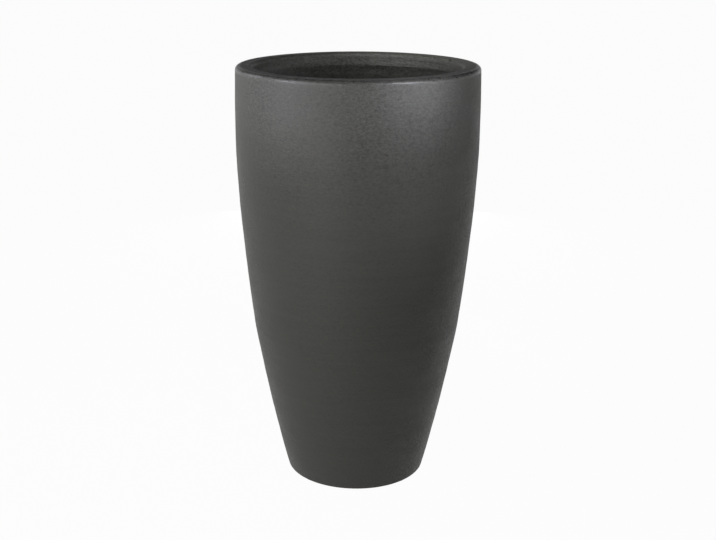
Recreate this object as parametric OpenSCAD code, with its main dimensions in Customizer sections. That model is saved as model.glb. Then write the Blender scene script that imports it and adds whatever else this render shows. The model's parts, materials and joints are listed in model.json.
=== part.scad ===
// Tall tapering ceramic floor planter, made as one fired pot with a thick flat rim.
// A rubber plug closes the drain hole in its floor, and rubber pads carry its foot ring.
// The z axis is the axis of the pot, and z = 0 is the surface that the pads stand on.

/* [Pot] */
// Height of the pot from its foot to the top of its rim
pot_height = 800; // [600:5:1000]
// Diameter of the pot where it is widest
belly_d = 457; // [400:1:560]
// How far the widest place lies below the top of the rim
belly_drop = 88; // [50:1:250]
// Diameter of the pot at its foot
foot_d = 270; // [200:1:360]
// Thickness of the side wall
wall = 16; // [10:0.5:24]
// Thickness of the floor
floor_t = 20; // [12:1:40]
// Radius of the corner between the floor and the wall inside
corner_round = 30; // [8:1:60]

/* [Rim] */
// Width of the rim from its outer face to the mouth
rim_width = 34.5; // [30:0.5:50]
// Radius of the outer edge of the rim
rim_round = 8; // [2:0.5:10]
// Radius of the edge of the rim at the mouth
mouth_round = 8; // [2:0.5:10]
// Depth of the upright face of the mouth below the top of the rim
mouth_depth = 25; // [12:1:40]
// Height of the slope that runs from that face back to the wall
slope_height = 45; // [12:1:80]

/* [Foot] */
// Width of the foot ring under the pot
foot_width = 30; // [30:1:50]
// Radius of the outer edge of the foot ring
foot_round = 3; // [1:0.5:5]
// Depth of the recess inside the foot ring
recess_depth = 6; // [2:0.5:12]

/* [Drain hole and plug] */
// Diameter of the drain hole in the middle of the floor
drain_d = 26; // [12:1:50]
// Gap all round between the plug and the hole
plug_gap = 0.3; // [0.2:0.1:1]
// How much narrower the shank of the plug is at its tip
plug_taper = 3; // [0:0.5:6]
// How much shorter the shank is than the hole
plug_short = 2; // [0:0.5:8]
// How far the flange of the plug reaches past the edge of the hole
flange_reach = 8; // [4:0.5:20]
// Thickness of the flange
flange_t = 5; // [2:0.5:8]
// Diameter of the neck under the knob of the plug
neck_d = 9; // [4:0.5:12]
// Height of the neck
neck_h = 6; // [3:0.5:20]
// Diameter of the knob
knob_d = 18; // [13:0.5:26]
// Thickness of the knob
knob_t = 5; // [3:0.5:8]

/* [Pads] */
// Number of pads under the foot ring
pad_count = 4; // [3:1:8]
// Diameter of a pad
pad_d = 24; // [12:1:25]
// Thickness of a pad
pad_t = 3; // [1:0.5:8]

/* [Hidden] */

$fn = 180;
side_fn = 720;      // the arc of the side has a radius of nearly three metres
through = 10;       // how far a cut runs past the face that it opens
crossing = 0.005;   // how far a rounding crosses the face that it runs into
first_pad_turn = 45;

foot_z = pad_t;
floor_z = foot_z + recess_depth;
inside_z = floor_z + floor_t;
rim_z = foot_z + pot_height;
belly_z = rim_z - belly_drop;

// The side is one arc that stands upright at the belly and passes through the edge of the foot
belly_r = belly_d / 2;
foot_r = foot_d / 2;
draw_in = belly_r - foot_r;
side_arc = (pow(belly_z - foot_z, 2) + pow(draw_in, 2)) / (2 * draw_in);
arc_centre = [belly_r - side_arc, belly_z];

mouth_r = side_r(rim_z) - rim_width;
under_rim_z = rim_z - mouth_depth;
wall_top_z = under_rim_z - slope_height;
top_z = rim_z + through;

drain_r = drain_d / 2;
recess_r = foot_r - foot_width;
pad_ring_r = (recess_r + foot_r - foot_round) / 2;

function pad_name(i) = str("foot_pad_", i);

// Radius of the side at height z, with its arc moved in by inset
function side_r(z, inset = 0) = arc_centre.x + sqrt(pow(side_arc - inset, 2) - pow(z - belly_z, 2));

// Half section of what lies inside the arc between two heights
module side_band(inset, low_z, high_z) {
    intersection() {
        translate(arc_centre) circle(r = side_arc - inset, $fn = side_fn);
        translate([0, low_z]) square([belly_r, high_z - low_z]);
    }
}

// What to cut from such a band to round its lower corner (up = -1) or its upper one (up = 1).
// The rounding touches the arc at turn, and end_z is the height of the face that it runs into.
module corner_cut(inset, end_z, radius, up) {
    centre_z = end_z - up * radius;
    centre = [side_r(centre_z, inset + radius - crossing), centre_z];
    turn = asin((centre_z - belly_z) / (side_arc - inset - radius));
    touch_z = centre_z + radius * sin(turn);
    height = abs(end_z - touch_z) + through;
    difference() {
        translate([centre.x, up > 0 ? touch_z : touch_z - height]) square([belly_r, height]);
        translate(centre) circle(r = radius);
    }
}

// Half section of a disc with a half-round edge
module round_edged(radius, thickness) {
    square([radius - thickness / 2, thickness]);
    translate([radius - thickness / 2, thickness / 2]) circle(d = thickness);
}

// What to cut from the rim to round its edge at the mouth
module mouth_cut() {
    centre = [mouth_r + mouth_round - crossing, rim_z - mouth_round];
    difference() {
        translate([0, centre.y]) square([centre.x, mouth_round + through]);
        translate(centre) circle(r = mouth_round);
    }
}

// Half section of the pot as if it were solid
module outer_section() {
    difference() {
        side_band(0, foot_z, rim_z);
        corner_cut(0, foot_z, foot_round, -1);
        corner_cut(0, rim_z, rim_round, 1);
        mouth_cut();
    }
}

// Half section of the space that the plant and its soil fill, with the mouth above it
module hollow_section() {
    wall_top_r = side_r(wall_top_z, wall);
    slope_drop = (belly_r - mouth_r) * slope_height / (wall_top_r - mouth_r);
    difference() {
        side_band(wall, inside_z, top_z);
        corner_cut(wall, inside_z, corner_round, -1);
        polygon([
            [mouth_r, top_z],
            [mouth_r, under_rim_z],
            [belly_r, under_rim_z - slope_drop],
            [belly_r, top_z]
        ]);
    }
}

module planter_shell() {
    color([0.27, 0.27, 0.27])
    difference() {
        rotate_extrude() difference() {
            outer_section();
            hollow_section();
        }
        translate([0, 0, foot_z - through]) cylinder(r = recess_r, h = recess_depth + through);
        translate([0, 0, floor_z - through]) cylinder(r = drain_r, h = floor_t + 2 * through);
    }
}

// The flange lies on the floor, the shank hangs in the hole and the knob is there to pull it out
module drain_plug() {
    shank_r = drain_r - plug_gap;
    shank_h = floor_t - plug_short;
    color([0.09, 0.09, 0.09])
    translate([0, 0, inside_z])
    rotate_extrude() {
        polygon([[0, -shank_h], [shank_r - plug_taper / 2, -shank_h], [shank_r, 0], [0, 0]]);
        round_edged(drain_r + flange_reach, flange_t);
        square([neck_d / 2, flange_t + neck_h + knob_t / 2]);
        translate([0, flange_t + neck_h]) round_edged(knob_d / 2, knob_t);
    }
}

// Pads are spread evenly round the middle of the flat of the foot ring
module foot_pad(i) {
    turn = first_pad_turn + (i - 1) * 360 / pad_count;
    color([0.14, 0.14, 0.14])
    rotate([0, 0, turn]) translate([pad_ring_r, 0, 0]) cylinder(d = pad_d, h = pad_t);
}

planter_shell();
drain_plug();
for (i = [1 : pad_count]) foot_pad(i);
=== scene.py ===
import json
import math

import bpy
from mathutils import Matrix, Vector

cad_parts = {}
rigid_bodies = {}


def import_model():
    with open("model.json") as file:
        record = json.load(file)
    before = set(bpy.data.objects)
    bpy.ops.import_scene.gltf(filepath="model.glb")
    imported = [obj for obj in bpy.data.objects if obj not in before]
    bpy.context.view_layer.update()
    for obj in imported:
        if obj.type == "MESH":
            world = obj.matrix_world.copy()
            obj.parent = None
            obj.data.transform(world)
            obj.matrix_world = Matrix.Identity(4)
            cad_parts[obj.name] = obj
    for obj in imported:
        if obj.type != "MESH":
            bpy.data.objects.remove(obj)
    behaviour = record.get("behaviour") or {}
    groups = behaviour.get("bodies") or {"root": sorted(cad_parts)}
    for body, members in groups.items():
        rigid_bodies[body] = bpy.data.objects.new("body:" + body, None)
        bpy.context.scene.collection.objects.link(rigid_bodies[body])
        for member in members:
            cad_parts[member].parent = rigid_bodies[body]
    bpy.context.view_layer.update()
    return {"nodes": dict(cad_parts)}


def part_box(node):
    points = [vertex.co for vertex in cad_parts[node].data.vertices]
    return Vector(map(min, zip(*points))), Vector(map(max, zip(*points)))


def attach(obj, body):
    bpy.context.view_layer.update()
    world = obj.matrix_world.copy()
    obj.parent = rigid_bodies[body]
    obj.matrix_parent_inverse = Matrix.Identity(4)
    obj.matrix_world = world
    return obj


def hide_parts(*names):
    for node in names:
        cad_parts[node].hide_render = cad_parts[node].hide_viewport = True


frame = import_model()
print("frame loaded:", len(frame["nodes"]), "nodes")


# modelling helpers

sameCorner, samePoint, sameVertex = 2e-5, 1e-6, 2e-6      # metres below which two of them are merged


def deselectAll():
    for other in bpy.context.view_layer.objects:
        other.select_set(False)


def ramp(value, start, end):
    # 0 at start, 1 at end and straight between them
    return min(1, max(0, (value - start) / (end - start)))


def arcPoints(centre, radius, startAngle, endAngle, count):
    # points on an arc of the half section, angles in degrees, 0 pointing outwards and 90 up
    points = []
    for step in range(count + 1):
        angle = math.radians(startAngle + (endAngle - startAngle) * step / count)
        points.append((centre[0] + radius * math.cos(angle), centre[1] + radius * math.sin(angle)))
    return points


def linePoints(start, end, count):
    return [(start[0] + (end[0] - start[0]) * step / count, start[1] + (end[1] - start[1]) * step / count)
            for step in range(count + 1)]


def joinPoints(*runs):
    # runs of points in mm, end to end and without doubled corners, as points in metres
    points = []
    for run in runs:
        for r, z in run:
            if not points or math.hypot(r / 1000 - points[-1][0], z / 1000 - points[-1][1]) > sameCorner:
                points.append((max(r, 0) / 1000, z / 1000))
    return points


def turnedPiece(name, section, turns, closed):
    # one corner of a plane is drawn out along the half section, which is then spun round the z axis
    deselectAll()
    bpy.ops.mesh.primitive_plane_add(size=0.01)
    piece = bpy.context.object
    piece.name = piece.data.name = name
    bpy.ops.object.mode_set(mode="EDIT")
    bpy.ops.mesh.select_all(action="SELECT")
    bpy.ops.mesh.merge(type="CENTER")
    bpy.ops.transform.translate(value=(section[0][0], 0, section[0][1]))
    path = section + section[:1] if closed else section
    for start, end in zip(path, path[1:]):
        step = (end[0] - start[0], 0, end[1] - start[1])
        bpy.ops.mesh.extrude_region_move(TRANSFORM_OT_translate={"value": step})
    bpy.ops.mesh.select_all(action="SELECT")
    bpy.ops.mesh.remove_doubles(threshold=samePoint)
    bpy.ops.mesh.spin(steps=turns, angle=math.tau, center=(0, 0, 0), axis=(0, 0, 1))
    bpy.ops.mesh.select_all(action="SELECT")
    bpy.ops.mesh.remove_doubles(threshold=sameVertex)
    bpy.ops.mesh.normals_make_consistent(inside=False)
    bpy.ops.object.mode_set(mode="OBJECT")
    bpy.ops.object.shade_smooth()
    return piece


def unevenSurface(piece, group, size, depth, detail):
    # a slight hand-made unevenness that only goes inwards, so the piece stays inside its box
    clouds = bpy.data.textures.new(piece.name + "Clouds", "CLOUDS")
    clouds.noise_scale = size
    clouds.noise_depth = detail
    uneven = piece.modifiers.new("uneven", "DISPLACE")
    uneven.texture = clouds
    uneven.texture_coords = "LOCAL"
    uneven.vertex_group = group
    uneven.mid_level = 1
    uneven.strength = depth
    bpy.context.view_layer.objects.active = piece
    bpy.ops.object.modifier_apply(modifier=uneven.name)


# shader helper

class Wire:
    # an output of a node; sums and products of wires add Math nodes
    def __init__(self, tree, socket=None):
        self.tree, self.socket = tree, socket

    def add(self, kind, settings, inputs, output=0):
        node = self.tree.nodes.new(kind)
        for name, value in settings.items():
            setattr(node, name, value)
        for name, value in inputs.items():
            if isinstance(value, Wire):
                self.tree.links.new(value.socket, node.inputs[name])
            else:
                node.inputs[name].default_value = value
        return Wire(self.tree, node.outputs[output])

    def maths(self, operation, *values):
        return self.add("ShaderNodeMath", {"operation": operation}, dict(enumerate(values)))

    def __add__(self, other): return self.maths("ADD", self, other)
    def __radd__(self, other): return self.maths("ADD", other, self)
    def __sub__(self, other): return self.maths("SUBTRACT", self, other)
    def __rsub__(self, other): return self.maths("SUBTRACT", other, self)
    def __mul__(self, other): return self.maths("MULTIPLY", self, other)
    def __rmul__(self, other): return self.maths("MULTIPLY", other, self)
    def larger(self, other): return self.maths("MAXIMUM", self, other)
    def smaller(self, other): return self.maths("MINIMUM", self, other)

    def stretched(self, scale):
        return self.add("ShaderNodeMapping", {}, {"Vector": self, "Scale": scale})

    def noise(self, scale, detail, roughness=0.5):
        return self.add("ShaderNodeTexNoise", {}, {"Vector": self, "Scale": scale, "Detail": detail,
                                                   "Roughness": roughness})

    def fade(self, start, end):
        # 0 below start, 1 above end, smooth between them
        return self.add("ShaderNodeMapRange", {"interpolation_type": "SMOOTHSTEP"},
                        {"Value": self, "From Min": start, "From Max": end})

    def blend(self, first, second):
        # the colour first where this wire is 0 and second where it is 1
        return self.add("ShaderNodeMix", {"data_type": "RGBA"}, {0: self, 6: first, 7: second}, 2)

    def shading(self, colour):
        # a colour times this grey
        grey = self.add("ShaderNodeCombineColor", {}, {0: self, 1: self, 2: self})
        return self.add("ShaderNodeMix", {"data_type": "RGBA", "blend_type": "MULTIPLY"},
                        {0: 1.0, 6: colour, 7: grey}, 2)


def newMaterial(name):
    material = bpy.data.materials.new(name)
    material.use_nodes = True
    material.node_tree.nodes.clear()
    tree = material.node_tree
    return material, Wire(tree, tree.nodes.new("ShaderNodeTexCoord").outputs["Object"])


def finishMaterial(place, surface):
    output = place.tree.nodes.new("ShaderNodeOutputMaterial")
    place.tree.links.new(surface.socket, output.inputs["Surface"])


# planter shell

pot = {
    "foot": 3, "top": 803, "bellyHeight": 715, "bellyRadius": 228.5, "footRadius": 135, "footRound": 3, "wall": 16,
    "recessRadius": 105, "recessTop": 9, "recessRound": 2.5, "ringRound": 3, "floor": 29, "cornerRound": 30,
    "drainRadius": 13, "drainRound": 1.6, "rimWidth": 34.5, "rimRound": 8, "mouthDepth": 25, "underRound": 7,
    "slopeHeight": 45, "turns": 240, "outerRows": 166, "innerRows": 72,
    "slopeEnd": 4,      # length of the bend from the slope to the wall
    # rise, height and reach of each swell or waist
    "swells": ((0.6, 648, 45), (-0.85, 456, 62), (1.15, 299, 36), (-0.4, 183, 30), (-0.4, 93, 30)),
    # rise, spacing and start of each wave of rings, and the heights between which they fade in and out
    "rings": ((0.055, 5.3, 0), (0.05, 7.9, 1.1), (0.06, 13.7, 0.4)), "ringsLow": (30, 90), "ringsHigh": (770, 710),
    "underRim": 0.4, "underRimHeight": (725, 765),      # how far the side draws in below the rim, and where
    "innerRipple": 0.4, "innerShift": 40,      # the inside mirrors the ripple, weaker and lower down
    # size, depth and detail of each unevenness, in metres, and the heights over which it sets in
    "uneven": ((0.22, 0.0006, 1), (0.045, 0.00022, 2)), "unevenHeight": (32, 122),
}
drawIn = pot["bellyRadius"] - pot["footRadius"]
sideArc = ((pot["bellyHeight"] - pot["foot"]) ** 2 + drawIn ** 2) / (2 * drawIn)


def sideRadius(z, inset=0):
    return pot["bellyRadius"] - sideArc + math.sqrt((sideArc - inset) ** 2 - (z - pot["bellyHeight"]) ** 2)


def ripple(z):
    # the side isn't a perfect arc: slight waists and swells, and faint rings left from the making
    swell = sum(rise * math.exp(-((z - middle) / reach) ** 2) for rise, middle, reach in pot["swells"])
    rings = sum(rise * math.sin(z / spacing + start) for rise, spacing, start in pot["rings"])
    shown = ramp(z, *pot["ringsLow"]) * ramp(z, *pot["ringsHigh"])
    return swell + rings * shown - pot["underRim"] * ramp(z, *pot["underRimHeight"])


def sideAngle(z):
    # degrees that the side leans out at this height
    return math.degrees(math.asin((z - pot["bellyHeight"]) / sideArc))


def potSection():
    top, bend, under = pot["top"], pot["rimRound"], pot["underRound"]
    mouth = sideRadius(top) - pot["rimWidth"]
    faceBottom = top - pot["mouthDepth"]
    wallTop = faceBottom - pot["slopeHeight"]
    wallTopRadius = sideRadius(wallTop, pot["wall"])

    # roundings that touch the side's arc
    footCentre = (sideRadius(pot["foot"] + pot["footRound"], pot["footRound"]), pot["foot"] + pot["footRound"])
    rimCentre = (sideRadius(top - bend, bend) - pot["underRim"], top - bend)
    cornerCentre = (sideRadius(pot["floor"] + pot["cornerRound"], pot["wall"] + pot["cornerRound"]),
                    pot["floor"] + pot["cornerRound"])
    footAngle, rimAngle, cornerAngle = (sideAngle(centre[1]) for centre in (footCentre, rimCentre, cornerCentre))

    sideLow = footCentre[1] + pot["footRound"] * math.sin(math.radians(footAngle))
    sideHigh = rimCentre[1] + bend * math.sin(math.radians(rimAngle))
    outer = []
    for row in range(pot["outerRows"] + 1):
        z = sideLow + (sideHigh - sideLow) * row / pot["outerRows"]
        outer.append((min(sideRadius(z) + ripple(z), pot["bellyRadius"]), z))

    # the face of the mouth turns back to the wall over a soft edge
    slope = math.atan2(wallTopRadius - mouth, pot["slopeHeight"])
    underTurn = math.degrees(slope)
    underCentre = (mouth + under, faceBottom + under * math.tan(math.radians(underTurn / 2)))
    underEdge = arcPoints(underCentre, under, 180, 180 + underTurn, 6)
    bendAt = (wallTopRadius - pot["slopeEnd"] * math.sin(slope), wallTop + pot["slopeEnd"] * math.cos(slope))

    innerLow = cornerCentre[1] + pot["cornerRound"] * math.sin(math.radians(cornerAngle))
    inner = []
    for row in range(pot["innerRows"] + 1):
        z = wallTop + (innerLow - wallTop) * row / pot["innerRows"]
        inner.append((sideRadius(z, pot["wall"]) - pot["innerRipple"] * ripple(z + pot["innerShift"]), z))

    drain, drainRound = pot["drainRadius"], pot["drainRound"]
    recess, recessTop, recessRound = pot["recessRadius"], pot["recessTop"], pot["recessRound"]
    ring = pot["ringRound"]
    return joinPoints(
        arcPoints((drain + drainRound, recessTop + drainRound), drainRound, 180, 270, 4),
        linePoints((drain + drainRound, recessTop), (recess - recessRound, recessTop), 14),
        arcPoints((recess - recessRound, recessTop - recessRound), recessRound, 90, 0, 4),
        arcPoints((recess + ring, pot["foot"] + ring), ring, 180, 270, 4),
        linePoints((recess + ring, pot["foot"]), (footCentre[0], pot["foot"]), 6),
        arcPoints(footCentre, pot["footRound"], -90, footAngle, 7),
        outer,
        arcPoints(rimCentre, bend, rimAngle, 90, 12),
        linePoints((rimCentre[0], top), (mouth + bend, top), 6),
        arcPoints((mouth + bend, top - bend), bend, 90, 180, 12),
        linePoints((mouth, top - bend), (mouth, underCentre[1]), 3),
        underEdge,
        linePoints(underEdge[-1], bendAt, 7),
        inner,
        arcPoints(cornerCentre, pot["cornerRound"], cornerAngle, -90, 10),
        linePoints((cornerCentre[0], pot["floor"]), (drain + drainRound, pot["floor"]), 14),
        arcPoints((drain + drainRound, pot["floor"] - drainRound), drainRound, 90, 180, 4),
        linePoints((drain, pot["floor"] - drainRound), (drain, recessTop + drainRound), 3),
    )


shell = turnedPiece("PlanterShell", potSection()[:-1], pot["turns"], closed=True)
wallGroup = shell.vertex_groups.new(name="sides")
for vertex in shell.data.vertices:
    weight = ramp(vertex.co.z * 1000, *pot["unevenHeight"])      # the foot and the floor stay true
    if weight > 0:
        wallGroup.add([vertex.index], weight, "REPLACE")
for size, depth, detail in pot["uneven"]:
    unevenSurface(shell, "sides", size, depth, detail)
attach(shell, "planter")
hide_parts("planter_shell")
print("shell:", len(shell.data.polygons), "faces")


# drain plug

plug = {
    "floor": 29, "tip": 11, "tipRadius": 11.2, "shankRadius": 12.7, "flangeRadius": 21, "flange": 5,
    "neckRadius": 4.5, "neck": 6, "neckFoot": 2.2, "neckTop": 1.3, "knobRadius": 9, "knob": 5, "turns": 96,
    "tipInset": 1.4, "tipRound": 1.2,
    # the shank lies in by inset between its sealing ribs
    "inset": 0.42, "ribs": (16.5, 22), "ribRise": 0.45, "ribStep": 0.45, "ribSteps": 3,
    # radius with the height above the tip, or the depth in the flange and in the knob
    "hollow": ((0, 1.6), (5.5, 1.6), (7.2, 1.1), (8.2, 0.2)),
    "groove": ((17.6, 0), (17.1, 0.25), (16.6, 0.6), (15.9, 0.6), (15.4, 0.25), (14.9, 0), (10, 0), (8.2, 0)),
    "dish": ((5.6, 0), (4.6, 0.15), (3.4, 0.55), (1.8, 0.9), (0, 1)),
    "grips": 16, "gripShare": 0.34, "gripScale": 0.94, "gripMargin": 0.6, "gripReach": 1.4,
}


def plugSection():
    floor, top = plug["floor"], plug["floor"] + plug["flange"]
    under = top + plug["neck"]
    knobTop = under + plug["knob"]
    flangeEdge = plug["flange"] / 2
    knobEdge = plug["knob"] / 2
    reach = plug["flangeRadius"]
    tipRound, neckFoot, neckTop = plug["tipRound"], plug["neckFoot"], plug["neckTop"]

    def shank(z):
        widening = (plug["shankRadius"] - plug["tipRadius"]) / (floor - plug["tip"])
        return plug["tipRadius"] + widening * (z - plug["tip"])

    ribs = []      # two soft sealing ribs stand on the tapered shank
    for middle in plug["ribs"]:
        for step in range(-plug["ribSteps"], plug["ribSteps"] + 1):
            z = middle + step * plug["ribStep"]
            rise = plug["ribRise"] * math.cos(step / plug["ribSteps"] * math.pi / 2)
            ribs.append((min(shank(z) - plug["inset"] + rise, plug["shankRadius"]), z))
    return joinPoints(
        [(radius, plug["tip"] + height) for radius, height in plug["hollow"]],
        arcPoints((plug["tipRadius"] - plug["tipInset"], plug["tip"] + tipRound), tipRound, -90, -10, 4),
        ribs,
        [(shank(25) - plug["inset"], 25), (shank(28) - plug["inset"], floor - 0.8)],
        [(shank(28) - 0.1, floor - 0.1), (shank(28) + 1, floor)],
        linePoints((15, floor), (reach - flangeEdge, floor), 3),
        arcPoints((reach - flangeEdge, floor + flangeEdge), flangeEdge, -90, 90, 12),
        [(radius, top - depth) for radius, depth in plug["groove"]],
        arcPoints((plug["neckRadius"] + neckFoot, top + neckFoot), neckFoot, 270, 180, 6),
        arcPoints((plug["neckRadius"] + neckTop, under - neckTop), neckTop, 180, 90, 5),
        [(6.2, under)],
        arcPoints((plug["knobRadius"] - knobEdge, under + knobEdge), knobEdge, -90, 90, 12),
        [(radius, knobTop - depth) for radius, depth in plug["dish"]],
    )


drainPlug = turnedPiece("DrainPlug", plugSection(), plug["turns"], closed=False)

# thumb grips: narrow strips of the knob's edge are pushed in
bpy.context.view_layer.objects.active = drainPlug
bpy.ops.object.mode_set(mode="EDIT")
bpy.ops.mesh.select_all(action="DESELECT")
bpy.ops.object.mode_set(mode="OBJECT")
knobUnder = plug["floor"] + plug["flange"] + plug["neck"]
knobLow = (knobUnder + plug["gripMargin"]) / 1000
knobHigh = (knobUnder + plug["knob"] - plug["gripMargin"]) / 1000
gripTurn = math.tau / plug["grips"]
for polygon in drainPlug.data.polygons:
    centre = polygon.center
    turn = math.atan2(centre.y, centre.x) % gripTurn
    outside = math.hypot(centre.x, centre.y) > (plug["knobRadius"] - plug["gripReach"]) / 1000
    if knobLow < centre.z < knobHigh and outside and turn < gripTurn * plug["gripShare"]:
        polygon.select = True
bpy.ops.object.mode_set(mode="EDIT")
bpy.ops.transform.resize(value=(plug["gripScale"], plug["gripScale"], 1), center_override=(0, 0, 0))
bpy.ops.object.mode_set(mode="OBJECT")
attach(drainPlug, "plug")
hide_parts("drain_plug")
print("plug:", len(drainPlug.data.polygons), "faces")


# foot pads

pad = {
    "radius": 12, "height": 3, "edge": 0.7, "turns": 64,
    # the side's top and the tape's edge: in from the side and down from the top
    "tape": ((0, 0.65), (0.1, 0.45), (0.35, 0.4), (0.35, 0), (3, 0), (12, 0)),
    # a dimple and a moulded ring: radius and height
    "underside": ((0, 0.5), (3.6, 0.5), (4.1, 0.35), (4.5, 0), (7.4, 0), (7.8, 0.3), (8.2, 0.45), (8.6, 0.3), (9, 0)),
}


def padSection():
    radius, height, edge = pad["radius"], pad["height"], pad["edge"]
    return joinPoints(
        pad["underside"],
        linePoints((9.6, 0), (radius - edge, 0), 2),
        arcPoints((radius - edge, edge), edge, -90, 0, 6),
        [(radius - inwards, height - down) for inwards, down in pad["tape"]],
    )


firstPad = turnedPiece("FootPad1", padSection(), pad["turns"], closed=False)
pads = [firstPad]
for index in range(1, 4):
    copy = firstPad.copy()
    copy.data = firstPad.data.copy()
    copy.name = copy.data.name = "FootPad" + str(index + 1)
    bpy.context.collection.objects.link(copy)
    pads.append(copy)
for index, footPad in enumerate(pads):
    low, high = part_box("foot_pad_" + str(index + 1))
    centre = ((low[0] + high[0]) / 2, (low[1] + high[1]) / 2, 0)
    footPad.data.transform(Matrix.Translation(centre))
    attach(footPad, "planter")
    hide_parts("foot_pad_" + str(index + 1))
print("pads:", len(pads))


# materials

clay = {
    "colour": (0.049, 0.049, 0.0432, 1), "bare": (0.13, 0.118, 0.1, 1), "roughness": 0.56, "ior": 1.38,
    "lie": (1, 1, 1.8),      # sand and grain are finer upwards, as they lie along the throwing lines
    # scale, detail and roughness of each noise
    "sand": (150, 2, 0.6), "grain": (340, 2.5, 0.65), "fine": (1054, 2, 0.6), "mottle": (16, 4, 0.55),
    "pitPatches": (60, 2, 0.5), "streaks": (1, 4, 0.6), "marks": (1, 3, 0.6),
    "streaksLie": (5, 5, 85), "marksLie": (7, 7, 95), "pits": 150,
    # how much each layer gives to the shade, the roughness and the relief
    "shades": {"speckle": 0.65, "fine": 0.2, "mottle": 0.25, "streaks": 0.3, "marks": 0.9, "pits": -0.3},
    "roughens": {"sand": 0.4, "grain": 0.45, "mottle": 0.2, "bare": 0.3, "edge": -0.2},
    "lifts": {"sand": 1, "grain": 0.6, "fine": 0.2, "streaks": 0.3, "marks": 3, "pits": -0.6},
    # the first gain on the next line paints the colour grain stronger towards the rim: painted glints where the upper
    # side is lit
    "paintedGlintGain": 2, "bump": 0.7, "grainDepth": 0.0007,
}
zones = {      # where masks begin and end, in metres from the floor and from the axis
    "ringHeight": (0.0052, 0.008), "ringReach": (0.1318, 0.1338),
    "recessHeight": (0.0088, 0.0105), "recessReach": (0.118, 0.12),
    "insideReach": (0.206, 0.214), "insideLow": (0.6, 0.66), "insideHigh": (0.79, 0.8),
    "edgeHeight": (0.791, 0.797), "edgeReach": (0.214, 0.22), "paintedGlintHeight": (0.5, 0.76),
    "pitSize": (0.1, 0.2), "pitPatch": (0.56, 0.66),      # these two in cell distance and in noise
}
rubber = {
    "plug": (0.02, 0.02, 0.021, 1), "pad": (0.03, 0.03, 0.03, 1), "roughness": 0.62, "ior": 1.5,
    "speckle": (900, 2, 0.6), "dust": (120, 4, 0.6),
    "shades": {"speckle": 0.3, "dust": 0.5}, "roughens": {"dust": 0.24}, "lifts": {"speckle": 0.6, "dust": 0.4},
    "bump": 0.4, "grainDepth": 0.0001,
}


def weighed(start, layers, weights):
    # start and the layers, each times its weight
    for name, weight in weights.items():
        start = start + layers[name] * weight
    return start


def layeredSurface(place, look, colour, layers):
    # a material's shade, roughness and relief all come from the same layers, each with its own weights
    bump = place.add("ShaderNodeBump", {}, {
        "Height": weighed(0, layers, look["lifts"]), "Strength": look["bump"], "Distance": look["grainDepth"]})
    return place.add("ShaderNodeBsdfPrincipled", {}, {
        "Base Color": weighed(1, layers, look["shades"]).shading(colour),
        "Roughness": weighed(look["roughness"], layers, look["roughens"]),
        "IOR": look["ior"], "Normal": bump})


def clayMaterial():
    material, place = newMaterial("FiredClay")
    brushed = place.stretched(clay["lie"])
    sand = brushed.noise(*clay["sand"]) - 0.5
    grain = brushed.noise(*clay["grain"]) - 0.5
    height = place.add("ShaderNodeSeparateXYZ", {}, {0: place}, "Z")
    reach = place.add("ShaderNodeVectorMath", {"operation": "LENGTH"}, {0: place.stretched((1, 1, 0))}, "Value")
    cells = place.add("ShaderNodeTexVoronoi", {}, {"Vector": place, "Scale": clay["pits"]})
    pits = (1 - cells.fade(*zones["pitSize"])) * place.noise(*clay["pitPatches"]).fade(*zones["pitPatch"])

    # the underside was wiped clean of glaze before firing
    ring = (1 - height.fade(*zones["ringHeight"])) * (1 - reach.fade(*zones["ringReach"]))
    recess = (1 - height.fade(*zones["recessHeight"])) * (1 - reach.fade(*zones["recessReach"]))
    bare = ring.larger(recess)

    # finger marks run round the inside, under the rim
    inside = (1 - reach.fade(*zones["insideReach"])) * height.fade(*zones["insideLow"])
    inside = inside * (1 - height.fade(*zones["insideHigh"]))

    surface = layeredSurface(place, clay, bare.blend(clay["colour"], clay["bare"]), {
        "sand": sand, "grain": grain, "bare": bare, "pits": pits,
        "fine": place.noise(*clay["fine"]) - 0.5,
        "mottle": place.noise(*clay["mottle"]) - 0.5,
        "streaks": place.stretched(clay["streaksLie"]).noise(*clay["streaks"]) - 0.5,
        "marks": (place.stretched(clay["marksLie"]).noise(*clay["marks"]) - 0.5) * inside,
        # the colour grain is painted stronger towards the rim, a painted glint standing in for the grain that glints
        # where the upper side is lit; the rim's edge is rubbed smoother by hands
        "speckle": (sand + grain) * (1 + height.fade(*zones["paintedGlintHeight"]) * clay["paintedGlintGain"]),
        "edge": height.fade(*zones["edgeHeight"]) * reach.fade(*zones["edgeReach"]),
    })
    finishMaterial(place, surface)
    return material


def rubberMaterial(name, colour):
    material, place = newMaterial(name)
    layers = {"speckle": place.noise(*rubber["speckle"]) - 0.5, "dust": place.noise(*rubber["dust"]) - 0.5}
    finishMaterial(place, layeredSurface(place, rubber, colour, layers))
    return material


shell.data.materials.append(clayMaterial())
drainPlug.data.materials.append(rubberMaterial("PlugRubber", rubber["plug"]))
padRubber = rubberMaterial("PadRubber", rubber["pad"])
for footPad in pads:
    footPad.data.materials.append(padRubber)
print("materials done")


# floor and surroundings

studio = {"floor": 400.0, "floorShade": 0.62, "shadow": 0.03, "ambient": 0.02, "lowSky": (0.05, 0.35)}


def seenDirectly(place, mirrored=1.0):
    # rays from the camera, and as much as mirrored of the rays from gloss and through glass
    path = place.tree.nodes.new("ShaderNodeLightPath")
    camera, glossy, through = (Wire(place.tree, path.outputs[name])
                               for name in ("Is Camera Ray", "Is Glossy Ray", "Is Transmission Ray"))
    return (camera + (glossy + through) * mirrored).smaller(1.0)


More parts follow.
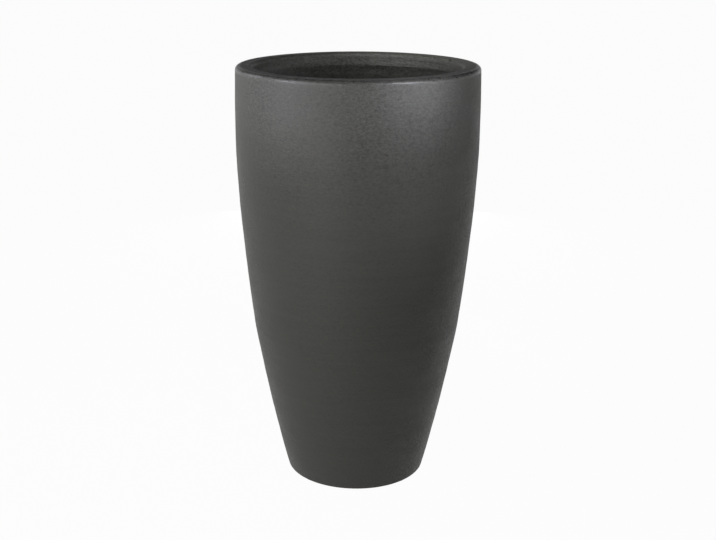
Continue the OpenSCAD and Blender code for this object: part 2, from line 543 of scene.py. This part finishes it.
deselectAll()
bpy.ops.mesh.primitive_plane_add(size=studio["floor"] * 2)
floor = bpy.context.object
floor.name = "Floor"
floorMaterial, floorPlace = newMaterial("PaleFloor")
paint = floorPlace.add("ShaderNodeBsdfDiffuse", {}, {"Color": (studio["floorShade"],) * 3 + (1,)})
glow = floorPlace.add("ShaderNodeEmission", {}, {"Color": (1, 1, 1, 1), "Strength": 1.0})
share = seenDirectly(floorPlace) * (1 - studio["shadow"])
finishMaterial(floorPlace, floorPlace.add("ShaderNodeMixShader", {}, {0: share, 1: paint, 2: glow}))
floor.data.materials.append(floorMaterial)

world = bpy.data.worlds.new("Studio")
bpy.context.scene.world = world
world.use_nodes = True
world.node_tree.nodes.clear()
surroundings = Wire(world.node_tree, world.node_tree.nodes.new("ShaderNodeTexCoord").outputs["Generated"])
upwards = surroundings.add("ShaderNodeSeparateXYZ", {}, {0: surroundings}, "Z")
lowSky = 1 - upwards.fade(*studio["lowSky"])      # gloss sees a white wall, and a dim ceiling from 20 degrees up
soft = surroundings.add("ShaderNodeBackground", {}, {"Strength": studio["ambient"]})
white = surroundings.add("ShaderNodeBackground", {}, {"Color": (1, 1, 1, 1), "Strength": 1.0})
sky = surroundings.add("ShaderNodeMixShader", {}, {0: seenDirectly(surroundings, lowSky), 1: soft, 2: white})
finishWorld = world.node_tree.nodes.new("ShaderNodeOutputWorld")
world.node_tree.links.new(sky.socket, finishWorld.inputs["Surface"])


# lamps

cool, neutral, spotRadius = (0.9, 0.9, 1), (1, 1, 1), 0.06
softboxes = {
    # name: place, aimed at, side of the square, watts, colour
    "KeyLeft": ((-1.046, -1.812, 0.803), (0, 0, 0.5), 1.05, 20.5, neutral),
    "SideLeft": ((-0.753, -0.435, 1.033), (0, 0, 0.78), 0.3, 3.0, cool),
    "FarLeft": ((-0.856, 0.151, 1.033), (0, 0, 0.78), 0.3, 1.5, cool),
    "Behind": ((0, 2.1, 0.3), (0, 0, 0.4), 1.0, 18.0, neutral),
}
spots = {
    # name: place, aimed at, cone in degrees, width of the cone against its height, watts, colour
    "RimRight": ((1.475, -0.828, 0.732), (0.117, -0.195, 0.81), 8, 1, 45.0, cool),
    "RimFront": ((0.9, -1.25, 1.25), (0.1, -0.2, 0.8), 10, 1, 60.0, cool),
    "SideRight": ((1.097, -1.197, 1.263), (0.1, -0.2, 0.75), 24, 0.5, 64.0, cool),
    "RimLeft": ((-1.49, -0.819, 0.8), (-0.13, -0.185, 0.8), 14, 1, 48.0, cool),
    "Mouth": ((0, -0.9, 1.6), (0, 0.2, 0.76), 20, 1, 24.0, neutral),
    "MouthRight": ((0, -0.45, 1.75), (0.13, 0.12, 0.76), 22, 1, 45.0, neutral),
    "Inside": ((0, 0, 1.9), (0, 0, 0), 17, 1, 110.0, neutral),      # reaches the floor of the pot and the plug
}


def addLamp(name, kind, place, target, power, colour):
    lamp = bpy.data.lights.new(name, kind)
    lamp.energy = power
    lamp.color = colour
    holder = bpy.data.objects.new(name, lamp)
    holder.location = place
    holder.rotation_euler = (Vector(target) - Vector(place)).to_track_quat("-Z", "Y").to_euler()
    holder.visible_camera = False
    bpy.context.collection.objects.link(holder)
    return holder


for name, (place, target, size, power, colour) in softboxes.items():
    addLamp(name, "AREA", place, target, power, colour).data.size = size
for name, (place, target, cone, width, power, colour) in spots.items():
    spot = addLamp(name, "SPOT", place, target, power, colour)
    spot.data.spot_size = math.radians(cone)
    spot.data.spot_blend = 1
    spot.data.shadow_soft_size = spotRadius
    spot.scale = (width, 1, 1)
print("lamps:", len(softboxes) + len(spots))


# camera

view = {
    "distance": 2.1277, "height": 1.0562, "turn": 1.353, "down": 17.007,
    "lens": 57.43, "sensor": 36, "shift": 0.03817,
}

camera = bpy.data.cameras.new("Camera")
camera.lens = view["lens"]
camera.sensor_width = view["sensor"]
camera.shift_x = view["shift"]
cameraHolder = bpy.data.objects.new("Camera", camera)
cameraHolder.location = (0, -view["distance"], view["height"])
cameraHolder.rotation_euler = (math.radians(90 - view["down"]), 0, math.radians(view["turn"]))
bpy.context.collection.objects.link(cameraHolder)
scene = bpy.context.scene
scene.camera = cameraHolder
scene.view_settings.view_transform = "Standard"
